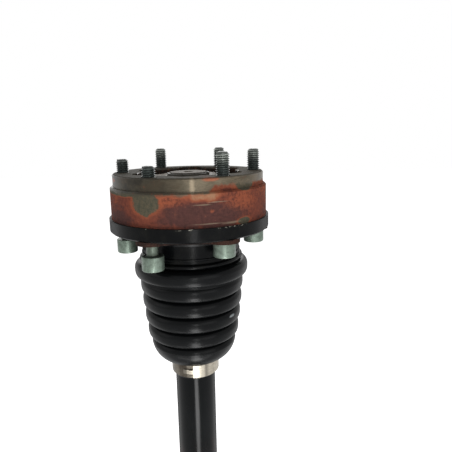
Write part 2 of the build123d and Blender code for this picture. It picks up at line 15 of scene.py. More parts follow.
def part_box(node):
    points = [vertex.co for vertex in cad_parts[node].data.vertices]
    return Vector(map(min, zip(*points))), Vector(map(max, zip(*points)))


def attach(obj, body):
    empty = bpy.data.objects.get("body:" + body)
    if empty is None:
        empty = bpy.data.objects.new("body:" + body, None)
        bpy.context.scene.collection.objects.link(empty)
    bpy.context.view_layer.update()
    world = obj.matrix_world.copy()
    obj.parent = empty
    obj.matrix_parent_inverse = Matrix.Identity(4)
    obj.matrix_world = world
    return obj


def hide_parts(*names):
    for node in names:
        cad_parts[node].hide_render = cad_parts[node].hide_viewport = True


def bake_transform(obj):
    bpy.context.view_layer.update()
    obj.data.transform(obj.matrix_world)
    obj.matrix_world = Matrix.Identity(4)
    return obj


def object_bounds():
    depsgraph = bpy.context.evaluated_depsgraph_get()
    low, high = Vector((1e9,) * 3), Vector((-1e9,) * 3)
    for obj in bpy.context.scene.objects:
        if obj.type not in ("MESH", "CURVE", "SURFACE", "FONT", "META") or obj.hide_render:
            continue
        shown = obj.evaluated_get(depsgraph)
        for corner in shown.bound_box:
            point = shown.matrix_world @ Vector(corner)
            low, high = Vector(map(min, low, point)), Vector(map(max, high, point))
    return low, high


bl_info = {
    "name": "Drive shaft",
    "version": (1, 0, 0),
    "blender": (4, 5, 0),
    "location": "View3D > Sidebar > Drive shaft",
    "description": "Dresses a car drive shaft: rust, bare steel, paint, rubber boots, screws and clamps",
    "category": "Object",
}

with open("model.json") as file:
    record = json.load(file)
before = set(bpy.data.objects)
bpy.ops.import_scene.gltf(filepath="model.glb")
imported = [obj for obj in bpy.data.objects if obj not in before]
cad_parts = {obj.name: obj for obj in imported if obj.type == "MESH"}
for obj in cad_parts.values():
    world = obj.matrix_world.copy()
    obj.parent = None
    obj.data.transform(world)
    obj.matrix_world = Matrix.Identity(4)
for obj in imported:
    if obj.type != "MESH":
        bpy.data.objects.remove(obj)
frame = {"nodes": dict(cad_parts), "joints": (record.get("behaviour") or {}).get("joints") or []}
cad_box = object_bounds()

MM = 0.001
SMOOTH_ANGLE = math.radians(35)
SCREW_ANGLE = math.radians(60)
JOINTS = {joint["name"]: joint for joint in frame["joints"]}
OUTER_CENTRE = Vector(JOINTS["outer_bend"]["pos_m"])


def shade(red, green, blue):
    """Linear colour of a shade given in screen values from 0 to 255."""
    parts = []
    for value in (red, green, blue):
        share = value / 255
        parts.append(share / 12.92 if share <= 0.04045 else ((share + 0.055) / 1.055) ** 2.4)
    return tuple(parts)


def colour_property(name, description, default):
    """Colour that a user may change."""
    return bpy.props.FloatVectorProperty(
        name=name, description=description, default=default, subtype="COLOR", size=3, min=0, max=1
    )


def length_property(name, description, millimetres):
    """Length that a user may change, given in millimetres and held in metres."""
    return bpy.props.FloatProperty(
        name=name, description=description, default=millimetres * MM, unit="LENGTH", precision=5, min=0
    )


def angle_property(name, description, degrees):
    """Angle that a user may change, given in degrees."""
    return bpy.props.FloatProperty(
        name=name, description=description, default=math.radians(degrees), subtype="ANGLE"
    )


class DRIVESHAFT_PG_colours(bpy.types.PropertyGroup):
    """Colours of the shaft's finishes."""

    rust: colour_property("Rust", "Main rust of the joint's barrel", shade(112, 60, 46))
    rust_dark: colour_property("Dark rust", "Old maroon rust low on the barrel", shade(76, 47, 43))
    rust_bright: colour_property("Bright rust", "Fresh rust round bare patches", shade(148, 80, 54))
    bare_steel: colour_property("Bare steel", "Machined steel of the register", shade(112, 101, 84))
    bare_patch: colour_property("Bare patch", "Grey green patches left in the rust", shade(84, 77, 62))
    cap_paint: colour_property("Cap paint", "Black paint of the boot cap", shade(7, 8, 9))
    bar_paint: colour_property("Bar paint", "Dark paint of the bar", shade(7, 9, 10))
    rubber: colour_property("Rubber", "Black rubber of the boots", shade(12, 13, 14))
    zinc: colour_property("Zinc", "Dull grey green plating of the screw heads", shade(108, 122, 111))
    thread: colour_property("Thread", "Dark oily steel of the threads", shade(66, 74, 71))
    band: colour_property("Band steel", "Stainless band of the clamps", shade(178, 171, 157))
    ground_steel: colour_property("Ground steel", "Steel of balls, cages and races", shade(104, 97, 87))


class DRIVESHAFT_PG_sizes(bpy.types.PropertyGroup):
    """Sizes of the modelled pieces."""

    bolt_circle: length_property("Bolt circle radius", "Radius of the circle of flange screws", 42.0)
    seat_height: length_property("Seat depth", "Depth of the screw heads' seats below the face", 38.5)
    screw_length: length_property("Screw length", "Length of a flange screw under its head", 52.0)
    head_radius: length_property("Head radius", "Radius of a screw's socket head", 6.65)
    head_height: length_property("Head height", "Height of a screw's socket head", 9.0)
    thread_radius: length_property("Thread radius", "Outer radius of a screw's thread", 4.0)
    thread_pitch: length_property("Thread pitch", "Distance from one turn of the thread to the next", 1.25)
    thread_length: length_property("Thread length", "Length of a screw's thread", 24.0)
    shank_radius: length_property("Shank radius", "Radius of a screw's plain shank", 3.55)
    boot_wall: length_property("Boot wall", "Thickness of the boots' rubber", 2.0)
    boot_pitch: length_property("Boot pitch", "Distance between the gearbox boot's crests", 10.66)
    clamp_width: length_property("Clamp width", "Width of the clamps' bands", 9.0)


class DRIVESHAFT_PG_stage(bpy.types.PropertyGroup):
    """Camera settings."""

    camera_place: bpy.props.FloatVectorProperty(
        name="Camera place",
        description="Where the camera stands",
        default=(0.01224, -0.2875, 0.02375),
        subtype="XYZ",
        unit="LENGTH",
        size=3,
    )
    camera_yaw: angle_property("Camera yaw", "Turn to the right of +Y", 2.28)
    camera_pitch: angle_property("Camera pitch", "Tilt below level", 11.93)
    camera_roll: angle_property("Camera roll", "Lean of the camera to its right", 1.1)
    lens: bpy.props.FloatProperty(
        name="Lens", description="Focal length in millimetres, 36 mm sensor", default=35.18, min=10, max=200
    )


def put(tree, value, socket):
    """Link a socket, or set a constant."""
    if isinstance(value, bpy.types.NodeSocket):
        tree.links.new(value, socket)
    elif isinstance(value, (int, float)):
        socket.default_value = value
    else:
        socket.default_value = (*value, 1.0) if len(socket.default_value) == 4 else value


def add_node(tree, kind, inputs, **settings):
    """Shader node of a kind, with its settings made and its inputs linked or set."""
    node = tree.nodes.new("ShaderNode" + kind)
    for name, value in settings.items():
        setattr(node, name, value)
    for key, value in inputs.items():
        put(tree, value, node.inputs[key])
    return node


class Finish:
    """A procedural material being put together on an object's own coordinates."""

    def __init__(self, name, metallic=0.0, specular=0.5):
        self.colours = bpy.context.scene.driveshaft_colours
        self.material = bpy.data.materials.new(name)
        self.material.use_nodes = True
        self.tree = self.material.node_tree
        self.tree.nodes.clear()
        self.shader = self.node("BsdfPrincipled", {"Metallic": metallic, "Specular IOR Level": specular})
        self.node("OutputMaterial", {"Surface": self.shader.outputs["BSDF"]})
        self.place = self.node("TexCoord", {}).outputs["Object"]
        self.bump_normal = None

    def node(self, kind, inputs, **settings):
        """Node of this material."""
        return add_node(self.tree, kind, inputs, **settings)

    def math(self, operation, first, second=0.0):
        """One sum on two values."""
        return self.node("Math", {0: first, 1: second}, operation=operation).outputs[0]

    def plus(self, first, second):
        """Sum of two values."""
        return self.math("ADD", first, second)

    def minus(self, first, second):
        """First value less the second."""
        return self.math("SUBTRACT", first, second)

    def times(self, first, second):
        """Product of two values."""
        return self.math("MULTIPLY", first, second)

    def squares(self, first, second):
        """Sum of the squares of two values."""
        return self.plus(self.math("POWER", first, 2.0), self.math("POWER", second, 2.0))

    def parts(self):
        """X, Y and Z of the place on the object."""
        return self.node("SeparateXYZ", {0: self.place}).outputs

    def stretched(self, scale):
        """Place scaled by a factor along each axis."""
        return self.node("Mapping", {"Vector": self.place, "Scale": scale}, vector_type="POINT").outputs[0]

    def noise(self, size, detail, roughness, place=None):
        """Cloudy value from 0 to 1 with features of about this size in millimetres."""
        where = self.place if place is None else place
        inputs = {"Vector": where, "Scale": 1.0 / (size * MM), "Detail": detail, "Roughness": roughness}
        return self.node("TexNoise", inputs).outputs["Fac"]

    def spread(self, value, low, high, bottom=0.0, top=1.0):
        """Value from low to high spread smoothly from bottom to top, and held outside."""
        inputs = {"Value": value, "From Min": low, "From Max": high, "To Min": bottom, "To Max": top}
        return self.node("MapRange", inputs, interpolation_type="SMOOTHSTEP").outputs[0]

    def reach(self, value, low, high, bottom=0.0, top=1.0):
        """Value spread in the same way, from low to high in millimetres."""
        return self.spread(value, low * MM, high * MM, bottom, top)

    def mix(self, share, first, second):
        """Colour between two colours."""
        return self.node("Mix", {0: share, 6: first, 7: second}, data_type="RGBA").outputs[2]

    def layer(self, under, over, value, low, high, bottom=0.0, top=1.0):
        """Colour that turns from one into another as a value spreads."""
        return self.mix(self.spread(value, low, high, bottom, top), under, over)

    def satin(self, low, high, bottom, top, cloud, share):
        """Roughness that rises towards the outline and varies with a cloud."""
        grazing = self.node("LayerWeight", {}).outputs["Facing"]
        return self.plus(self.spread(grazing, low, high, bottom, top), self.times(cloud, share))

    def bump(self, height, distance, strength):
        """Add a layer of bump, its distance in millimetres, under the ones before."""
        inputs = {"Distance": distance * MM, "Strength": strength, "Height": height}
        if self.bump_normal is not None:
            inputs["Normal"] = self.bump_normal
        self.bump_normal = self.node("Bump", inputs).outputs[0]

    def done(self, colour, roughness, metallic=None):
        """Set colour and roughness and return the material."""
        inputs = {"Base Color": colour, "Roughness": roughness, "Metallic": metallic}
        inputs["Normal"] = self.bump_normal
        for name, value in inputs.items():
            if value is not None:
                put(self.tree, value, self.shader.inputs[name])
        return self.material


def nearest_patch(coat, arc, height, patches, edge):
    """Distance from the nearest of several ragged patches, 1 at its edge."""
    nearest = None
    for centre_arc, centre_height, half_width, half_height in patches:
        across = coat.math("DIVIDE", coat.minus(arc, centre_arc * MM), half_width * MM)
        along = coat.math("DIVIDE", coat.minus(height, centre_height * MM), half_height * MM)
        distance = coat.plus(coat.math("SQRT", coat.squares(across, along)), edge)
        nearest = distance if nearest is None else coat.math("MINIMUM", nearest, distance)
    return nearest


# Patches on the ring: place round it from its front, height, half width and half height, in millimetres
BARE_PATCHES = (
    (-23.8, -12.6, 8.6, 8.2),
    (-44.0, -9.0, 27.0, 1.9),
    (38.5, -5.4, 8.0, 3.2),
    (36.0, -26.0, 5.0, 1.9),
    (78.0, -14.0, 12.0, 6.0),
    (120.0, -20.0, 18.0, 5.0),
    (-84.0, -16.0, 8.0, 5.0),
    (-120.0, -24.0, 12.0, 6.0),
)
TAN_PATCHES = (
    (10.0, -9.4, 8.5, 2.6),
    (-130.0, -12.0, 9.0, 3.0),
)
MAROON_PATCHES = (
    (10.0, -21.0, 26.0, 8.0),
    (-47.0, -24.0, 12.0, 5.0),
    (100.0, -24.0, 24.0, 7.0),
    (-118.0, -22.0, 24.0, 8.0),
)
ORANGE_PATCHES = (
    (-10.0, -11.5, 9.0, 4.0),
    (35.0, -13.5, 13.0, 6.0),
    (14.6, -18.3, 1.3, 1.1),
    (-50.0, -14.0, 3.0, 3.0),
    (60.0, -9.0, 14.0, 5.0),
    (-100.0, -14.0, 14.0, 5.0),
    (128.0, -12.0, 14.0, 6.0),
)
# Scratches, and one painted highlight: the tall mark on the register just right of its front
SCRATCHES_AND_HIGHLIGHT = (
    (9.0, -14.6, 4.0, 0.3),
    (19.0, -13.4, 5.0, 0.28),
    (12.0, -25.4, 8.0, 0.3),
    (27.0, -25.9, 5.0, 0.6),
    # Painted highlight on the register, not a scratch
    (3.8, -4.4, 1.3, 4.6),
    (-90.0, -15.0, 7.0, 0.3),
    (125.0, -20.0, 8.0, 0.3),
)
REGISTER_STAINS = (
    (15.0, -1.0, 5.5, 1.3),
    (-60.0, -3.0, 5.0, 1.5),
    (110.0, -2.5, 9.0, 1.8),
)

# Heights and radii that the finishes change at, and places of marks, in millimetres
RING_RADIUS = 50
RUST_TOP = -8.0
FACE_EDGE = -0.5
TRACK_RADIUS = 38.0
CAP_RIM_TOP = -27.9
CAP_SCUFF_X = 27
# Middle of the painted shade on the front backing plate
PLATE_SHADE_X = -1
BAR_END_RADIUS = 12.4
BAR_END_DEPTH = -4
BAR_PAINT = (-40, -422)
BAR_RED_FROM = -185
HOUSING_SHOULDER = -34
THREAD_FROM = -26
SMALL_LAP_RADIUS = 16.3
LARGE_LAP_RADIUS = 43.65
BOOT_FLECK = (25.7, -92.5)


def ring_finish():
    """Joint ring: machined face and register over a rusty barrel with bare patches."""
    coat = Finish("joint_ring_rust_and_steel", specular=0.16)
    x, y, z = coat.parts()
    around = coat.math("ARCTAN2", x, coat.times(y, -1.0))
    arc = coat.times(around, RING_RADIUS * MM)
    cloud = coat.noise(9, 5, 0.62)
    fine = coat.noise(1.8, 4, 0.7)
    grain = coat.noise(0.45, 2, 0.6)
    edge = coat.times(coat.minus(coat.noise(5, 5, 0.65), 0.5), 1.5)
    small_edge = coat.times(edge, 0.6)

    maroon = coat.spread(nearest_patch(coat, arc, z, MAROON_PATCHES, edge), 0.75, 1.3, 1.0, 0.0)
    maroon = coat.math("MAXIMUM", maroon, coat.spread(cloud, 0.36, 0.5, 0.7, 0.0))
    rust = coat.mix(maroon, coat.colours.rust, coat.colours.rust_dark)
    orange = coat.spread(nearest_patch(coat, arc, z, ORANGE_PATCHES, edge), 0.5, 1.25, 0.6, 0.0)
    orange = coat.times(orange, coat.spread(fine, 0.36, 0.56, 0.35, 1.0))
    rust = coat.mix(orange, rust, coat.colours.rust_bright)
    rust = coat.layer(rust, shade(52, 33, 30), fine, 0.34, 0.56, 0.55, 0.0)
    rust = coat.layer(rust, shade(146, 88, 64), fine, 0.58, 0.76, 0.0, 0.4)

    bare_shade = coat.layer(shade(66, 66, 54), coat.colours.bare_patch, fine, 0.38, 0.6)
    bare_near = nearest_patch(coat, arc, z, BARE_PATCHES, small_edge)
    patch_mask = coat.spread(bare_near, 0.9, 1.08, 1.0, 0.0)
    fringe = coat.spread(bare_near, 0.95, 1.5, 1.0, 0.0)
    tan_near = nearest_patch(coat, arc, z, TAN_PATCHES, coat.times(edge, 1.3))
    barrel = coat.mix(coat.times(fringe, 0.7), rust, coat.colours.rust_bright)
    barrel = coat.layer(barrel, coat.colours.rust_bright, tan_near, 0.95, 1.7, 0.75, 0.0)
    barrel = coat.layer(barrel, shade(152, 122, 94), tan_near, 0.4, 1.2, 0.8, 0.0)
    barrel = coat.mix(patch_mask, barrel, bare_shade)

    turned = coat.noise(2.2, 4, 0.6, coat.stretched((1, 1, 7)))
    steel = coat.layer(shade(92, 84, 69), coat.colours.bare_steel, turned, 0.32, 0.68)
    # Painted shade: the register is darker to the left of its front, away from the light, and darker again
    # from its right side round to the back.
    darker_back = coat.reach(arc, 80, 140, 0.0, 0.9)
    shade_and_dark_back = coat.plus(coat.reach(arc, -30, 22, 1.0, 0.1), darker_back)
    shade_and_dark_back = coat.times(shade_and_dark_back, coat.spread(cloud, 0.3, 0.6, 1.0, 0.8))
    steel = coat.mix(shade_and_dark_back, steel, shade(36, 34, 29))
    steel = coat.layer(steel, shade(70, 66, 54), cloud, 0.48, 0.64, 0.0, 0.5)
    stains = coat.spread(nearest_patch(coat, arc, z, REGISTER_STAINS, small_edge), 0.6, 1.2, 0.65, 0.0)
    steel = coat.mix(stains, steel, coat.colours.rust_bright)
    blotch = coat.noise(13, 4, 0.6, coat.stretched((1, 1, 2.5)))
    steel = coat.layer(steel, shade(66, 56, 44), blotch, 0.5, 0.64, 0.0, 0.45)
    steel = coat.layer(steel, shade(52, 48, 40), blotch, 0.3, 0.42, 0.5, 0.0)
    specks = coat.times(coat.spread(fine, 0.6, 0.7), coat.spread(cloud, 0.5, 0.6))
    steel = coat.mix(coat.times(specks, 0.6), steel, coat.colours.rust)
    climb = coat.times(coat.reach(arc, 11, 18), coat.reach(arc, 86, 100, 1, 0))
    over = coat.plus(z, coat.times(coat.minus(cloud, 0.5), 5 * MM))
    over = coat.plus(over, coat.times(coat.minus(fine, 0.5), 3.5 * MM))
    over = coat.minus(over, coat.times(climb, 4.0 * MM))
    machined = coat.reach(over, RUST_TOP - 2.2, RUST_TOP)
    rust_edge = coat.reach(over, RUST_TOP - 3.5, RUST_TOP - 1.2, 0.0, 0.55)
    colour = coat.mix(rust_edge, barrel, coat.colours.rust_bright)
    colour = coat.mix(patch_mask, colour, bare_shade)
    flat = coat.reach(z, FACE_EDGE, -0.1)
    face = coat.times(flat, coat.spread(cloud, 0.3, 0.6, 0.95, 0.6))
    steel = coat.mix(face, steel, shade(62, 59, 51))
    colour = coat.mix(machined, colour, steel)
    radius = coat.math("SQRT", coat.squares(x, y))
    inside = coat.reach(radius, TRACK_RADIUS, TRACK_RADIUS + 0.6, 1.0, 0.0)
    below_face = coat.reach(z, -1.2, -0.3, 1.0, 0.0)
    track = coat.times(inside, below_face)
    # Scratches are lighter, and so is the painted highlight on the register
    scratches_and_highlight = nearest_patch(coat, arc, z, SCRATCHES_AND_HIGHLIGHT, coat.times(edge, 1.2))
    colour = coat.layer(colour, shade(156, 142, 120), scratches_and_highlight, 0.1, 1.7, 0.45, 0.0)
    greasy = coat.layer(shade(34, 29, 25), shade(86, 56, 40), fine, 0.5, 0.68)
    colour = coat.mix(coat.times(track, 0.95), colour, greasy)

    rough_side = coat.minus(1.0, machined)
    coat.bump(cloud, 0.4, coat.times(rough_side, 0.5))
    coat.bump(fine, 0.3, coat.plus(coat.times(rough_side, 0.6), 0.1))
    coat.bump(grain, 0.06, 0.5)
    turned_side = coat.times(machined, coat.minus(1.0, flat))
    roughness = coat.plus(coat.spread(turned_side, 0, 1, 0.74, 0.3), coat.times(fine, 0.16))
    return coat.done(colour, roughness, coat.times(turned_side, 0.45))


def cap_finish():
    """Boot cap: black paint, dusty, with bare chips along its rim's top edge."""
    coat = Finish("boot_cap_black_paint", specular=0.07)
    x, y, z = coat.parts()
    cloud = coat.noise(7, 4, 0.6)
    fine = coat.noise(1.1, 3, 0.65)
    edge = coat.reach(z, CAP_RIM_TOP - 0.8, CAP_RIM_TOP)
    chips = coat.times(edge, coat.spread(fine, 0.54, 0.6))
    beside = coat.math("ABSOLUTE", coat.minus(x, CAP_SCUFF_X * MM))
    in_front = coat.reach(y, -20, -16, 1, 0)
    scuffed = coat.times(coat.reach(beside, 5, 8, 1, 0), in_front)
    chips = coat.times(chips, coat.math("MAXIMUM", scuffed, coat.spread(cloud, 0.58, 0.66)))
    dust = coat.times(coat.spread(cloud, 0.45, 0.75), 0.35)
    paint = coat.mix(dust, coat.colours.cap_paint, shade(27, 27, 23))
    colour = coat.mix(chips, paint, shade(128, 125, 115))
    coat.bump(cloud, 0.25, 0.4)
    coat.bump(fine, 0.05, 0.5)
    roughness = coat.satin(0.5, 0.95, 0.14, 0.5, cloud, 0.2)
    return coat.done(colour, roughness, coat.times(chips, 0.4))


def plate_finish():
    """Backing plates: matt rust, brighter where it is fresh, with painted shade across the front plate's
    middle under the cap's rim.
    """
    coat = Finish("backing_plate_rust", specular=0.1)
    x, y = coat.parts()[:2]
    cloud = coat.noise(4, 5, 0.65)
    fine = coat.noise(0.8, 3, 0.7)
    colour = coat.layer(shade(30, 23, 21), shade(54, 36, 30), cloud, 0.35, 0.6)
    colour = coat.layer(colour, shade(82, 50, 40), fine, 0.5, 0.75, 0, 0.4)
    # Painted shade: the front plate is darker across its middle, under the cap's rim
    beside = coat.math("ABSOLUTE", coat.minus(x, PLATE_SHADE_X * MM))
    in_front = coat.reach(y, -30, -26, 1, 0)
    between = coat.times(coat.reach(beside, 8, 14, 1, 0), in_front)
    colour = coat.mix(coat.times(between, 0.85), colour, shade(26, 23, 22))
    coat.bump(cloud, 0.4, 0.6)
    coat.bump(fine, 0.12, 0.7)
    return coat.done(colour, coat.spread(fine, 0.3, 0.7, 0.9, 0.72))


def ground_finish():
    """Balls, cages and races: ground steel under a film of old grease."""
    coat = Finish("greased_ground_steel", metallic=0.35, specular=0.2)
    cloud = coat.noise(6, 4, 0.6)
    fine = coat.noise(1.2, 3, 0.6)
    colour = coat.layer(shade(56, 50, 43), coat.colours.ground_steel, cloud, 0.35, 0.65)
    colour = coat.layer(colour, shade(126, 78, 48), fine, 0.58, 0.75, 0, 0.5)
    coat.bump(cloud, 0.15, 0.4)
    coat.bump(fine, 0.04, 0.5)
    return coat.done(colour, coat.spread(cloud, 0.3, 0.7, 0.4, 0.65))


def spring_finish():
    """Circlips and washers: dark phosphated spring steel."""
    coat = Finish("phosphated_spring_steel", metallic=0.4, specular=0.2)
    cloud = coat.noise(3, 4, 0.6)
    colour = coat.mix(cloud, shade(52, 50, 47), shade(98, 94, 86))
    coat.bump(coat.noise(0.6, 2, 0.6), 0.03, 0.5)
    return coat.done(colour, coat.spread(cloud, 0.3, 0.7, 0.4, 0.55))


def bar_finish():
    """Bar: dark satin paint with fine runs, dust and a reddish cast of rust lower down, and painted shade
    on the rim of its end.
    """
    coat = Finish("bar_satin_paint", specular=0.075)
    x, y, z = coat.parts()
    cloud = coat.noise(14, 4, 0.6, coat.stretched((1, 1, 0.35)))
    fine = coat.noise(1.0, 4, 0.7)
    paint = coat.layer(coat.colours.bar_paint, shade(18, 20, 21), cloud, 0.4, 0.7, 0, 0.5)
    low_down = coat.reach(z, BAR_RED_FROM - 20, BAR_RED_FROM, 1, 0)
    reddish = coat.times(low_down, coat.spread(cloud, 0.4, 0.66))
    paint = coat.mix(coat.times(reddish, 0.25), paint, shade(70, 44, 40))
    pits = coat.times(coat.spread(fine, 0.66, 0.74), coat.spread(cloud, 0.5, 0.6))
    paint = coat.mix(coat.times(pits, 0.7), paint, shade(96, 62, 48))
    top_end = coat.reach(z, BAR_PAINT[0], BAR_PAINT[0] + 8)
    low_end = coat.reach(z, BAR_PAINT[1] - 6, BAR_PAINT[1], 1, 0)
    bare = coat.math("MAXIMUM", top_end, low_end)
    colour = coat.mix(bare, paint, shade(84, 77, 67))
    squares = coat.squares(x, y)
    on_end = coat.reach(z, BAR_END_DEPTH, BAR_END_DEPTH + 2)
    centre = coat.times(coat.spread(squares, (1.5 * MM) ** 2, (3 * MM) ** 2, 1, 0), on_end)
    # Painted shade: the rim of the bar's end is darkened against the light its chamfer catches
    shaded_rim_from = ((BAR_END_RADIUS - 1.2) * MM) ** 2
    edge = coat.times(coat.spread(squares, shaded_rim_from, (BAR_END_RADIUS * MM) ** 2), on_end)
    colour = coat.mix(coat.times(edge, 0.8), colour, shade(38, 35, 30))
    colour = coat.mix(centre, colour, shade(196, 180, 136))
    coat.bump(cloud, 0.2, 0.2)
    coat.bump(fine, 0.04, 0.3)
    roughness = coat.satin(0.45, 0.9, 0.12, 0.5, cloud, 0.1)
    roughness = coat.math("MAXIMUM", roughness, coat.times(bare, 0.62))
    return coat.done(colour, roughness, coat.times(bare, 0.3))


def housing_finish():
    """Wheel joint's housing: oxidised forging, machined bright at its seat, splines and thread."""
    coat = Finish("wheel_joint_forging")
    z = coat.parts()[2]
    cloud = coat.noise(9, 5, 0.62)
    fine = coat.noise(1.4, 4, 0.7)
    scale = coat.layer(shade(70, 46, 40), shade(112, 62, 46), cloud, 0.36, 0.6)
    scale = coat.layer(scale, shade(56, 54, 50), fine, 0.45, 0.7, 0, 0.45)
    streak = coat.noise(2.5, 4, 0.6, coat.stretched((1, 1, 6)))
    steel = coat.mix(streak, shade(84, 80, 70), shade(138, 134, 122))
    shoulder = OUTER_CENTRE.z + HOUSING_SHOULDER * MM
    machined = coat.spread(z, shoulder - 1 * MM, shoulder, 1, 0)
    colour = coat.mix(machined, scale, steel)
    coat.bump(cloud, 0.4, 0.5)
    coat.bump(fine, 0.15, coat.spread(machined, 0, 1, 0.7, 0.15))
    roughness = coat.spread(machined, 0, 1, 0.72, 0.38)
    return coat.done(colour, roughness, coat.times(machined, 0.8))


def rubber_finish():
    """Boots: black rubber with a soft gloss, worn dull in places, and a small light fleck."""
    coat = Finish("boot_rubber", specular=0.08)
    cloud = coat.noise(12, 4, 0.6)
    fine = coat.noise(1.2, 4, 0.7)
    colour = coat.layer(coat.colours.rubber, shade(19, 21, 22), cloud, 0.4, 0.75, 0, 0.5)
    x, y, z = coat.parts()
    across = coat.times(coat.minus(x, BOOT_FLECK[0] * MM), 0.5)
    along = coat.minus(z, BOOT_FLECK[1] * MM)
    squares = coat.squares(across, along)
    in_front = coat.reach(y, -5, 0, 1, 0)
    fleck = coat.times(coat.spread(squares, (0.5 * MM) ** 2, (1.0 * MM) ** 2, 1, 0), in_front)
    colour = coat.mix(coat.times(fleck, 0.8), colour, shade(150, 156, 158))
    coat.bump(cloud, 0.4, 0.25)
    coat.bump(fine, 0.05, 0.45)
    roughness = coat.satin(0.55, 0.95, 0.2, 0.45, cloud, 0.1)
    return coat.done(colour, roughness)


def zinc_finish():
    """Screws: dull grey green zinc on the head and shank, dark oily thread with brighter crests."""
    coat = Finish("screw_zinc")
    x, y, z = coat.parts()
    centre = bpy.context.scene.driveshaft_sizes.bolt_circle
    squares = coat.squares(x, y)
    turn = coat.math("ARCTAN2", y, x)
    whole = coat.math("ROUND", coat.math("DIVIDE", turn, SCREW_ANGLE))
    turn = coat.minus(turn, coat.times(whole, SCREW_ANGLE))
    chord = coat.times(coat.math("SQRT", squares), coat.math("COSINE", turn))
    squares = coat.plus(coat.minus(squares, coat.times(chord, 2 * centre)), centre**2)
    from_axis = coat.math("SQRT", squares)
    cloud = coat.noise(2.6, 4, 0.65)
    fine = coat.noise(0.5, 3, 0.7)
    plating = coat.layer(shade(84, 96, 85), coat.colours.zinc, cloud, 0.35, 0.65)
    plating = coat.layer(plating, shade(146, 155, 144), fine, 0.55, 0.75, 0, 0.55)
    plating = coat.layer(plating, shade(80, 84, 70), cloud, 0.6, 0.75, 0, 0.6)
    top = coat.reach(coat.plus(z, coat.times(cloud, 6 * MM)), 8, 15)
    thread = coat.mix(top, coat.colours.thread, shade(156, 162, 155))
    thread = coat.mix(coat.reach(from_axis, 3.4, 3.85, 0.75, 0.0), thread, shade(20, 22, 21))
    off_shank = coat.reach(from_axis, 3.6, 3.7)
    collar = coat.times(off_shank, coat.reach(from_axis, 5.2, 5.9, 1, 0))
    plating = coat.mix(coat.times(collar, 0.75), plating, shade(40, 44, 40))
    plating = coat.mix(coat.reach(from_axis, 3.6, 3.7, 0.5, 0.0), plating, shade(66, 70, 60))
    upper = coat.reach(z, THREAD_FROM - 4, THREAD_FROM)
    colour = coat.mix(upper, plating, thread)
    rough = coat.minus(1.0, upper)
    coat.bump(cloud, 0.08, coat.times(rough, 0.4))
    coat.bump(fine, 0.04, coat.times(rough, 0.6))
    return coat.done(colour, coat.spread(cloud, 0.3, 0.7, 0.5, 0.36), 0.55)


def band_finish():
    """Clamps: stainless band, polished along its length, with a few rust spots, and painted dark
    reflections: bands across it and a darker under layer.
    """
    coat = Finish("clamp_stainless", metallic=1.0)
    x, y = coat.parts()[:2]
    radius = coat.math("SQRT", coat.squares(x, y))
    brushed = coat.noise(1.5, 3, 0.6, coat.stretched((0.5, 0.5, 9)))
    reflection_bands = coat.noise(7, 2, 0.5, coat.stretched((1, 1, 0.02)))
    cloud = coat.noise(5, 4, 0.6)
    spots = coat.spread(coat.noise(1.6, 3, 0.6), 0.6, 0.68)
    spots = coat.times(spots, coat.spread(cloud, 0.5, 0.6))
    colour = coat.layer(shade(138, 132, 121), coat.colours.band, brushed, 0.3, 0.7)
    # Painted reflection: darker bands across the band, spaced round it
    colour = coat.layer(colour, shade(84, 80, 73), reflection_bands, 0.5, 0.62, 0, 0.8)
    # Painted dark reflection: the under layer, where no lap covers it, is made darker
    small = coat.reach(radius, SMALL_LAP_RADIUS - 0.05, SMALL_LAP_RADIUS + 0.05, 1, 0)
    large = coat.reach(radius, LARGE_LAP_RADIUS - 0.05, LARGE_LAP_RADIUS + 0.05, 1, 0)
    large = coat.times(large, coat.reach(radius, 30, 31))
    lower = coat.math("MAXIMUM", small, large)
    lower = coat.times(lower, coat.spread(cloud, 0.3, 0.6, 0.95, 0.7))
    colour = coat.mix(lower, colour, shade(58, 52, 45))
    colour = coat.mix(coat.times(spots, 0.7), colour, shade(110, 66, 42))
    coat.bump(brushed, 0.03, 0.5)
    return coat.done(colour, coat.spread(cloud, 0.3, 0.7, 0.34, 0.44))


def arc_points(centre, radii, start, end, count):
    """Points (radius, height) along a stretch of an ellipse, angles in degrees, both ends counted."""
    points = []
    for number in range(count):
        angle = math.radians(start + (end - start) * number / (count - 1))
        points.append((centre[0] + radii[0] * math.cos(angle), centre[1] + radii[1] * math.sin(angle)))
    return points


def spun_outline(outline, steps, start=0.0, angle=math.tau, closed=True):
    """Bmesh of an outline of (radius, height) in millimetres, turned about Z."""
    mesh = bmesh.new()
    full = abs(angle - math.tau) < 1e-6
    across = Vector((math.cos(start), math.sin(start), 0))
    points = []
    for radius, height in outline:
        points.append(mesh.verts.new(across * radius * MM + Vector((0, 0, height * MM))))
    edges = [mesh.edges.new(pair) for pair in zip(points, points[1:])]
    if closed:
        edges.append(mesh.edges.new((points[-1], points[0])))
    ends = points + edges
    if not full:
        ends.append(mesh.faces.new(points))
    bmesh.ops.spin(
        mesh,
        geom=ends,
        cent=(0, 0, 0),
        axis=(0, 0, 1),
        angle=angle,
        steps=steps,
        use_merge=full,
        use_duplicate=False,
    )
    bmesh.ops.remove_doubles(mesh, verts=mesh.verts, dist=1e-7)
    bmesh.ops.recalc_face_normals(mesh, faces=mesh.faces)
    return mesh


def joined(meshes):
    """One bmesh that holds several."""
    whole = meshes[0]
    for mesh in meshes[1:]:
        data = bpy.data.meshes.new("part")
        mesh.to_mesh(data)
        mesh.free()
        whole.from_mesh(data)
        bpy.data.meshes.remove(data)
    return whole


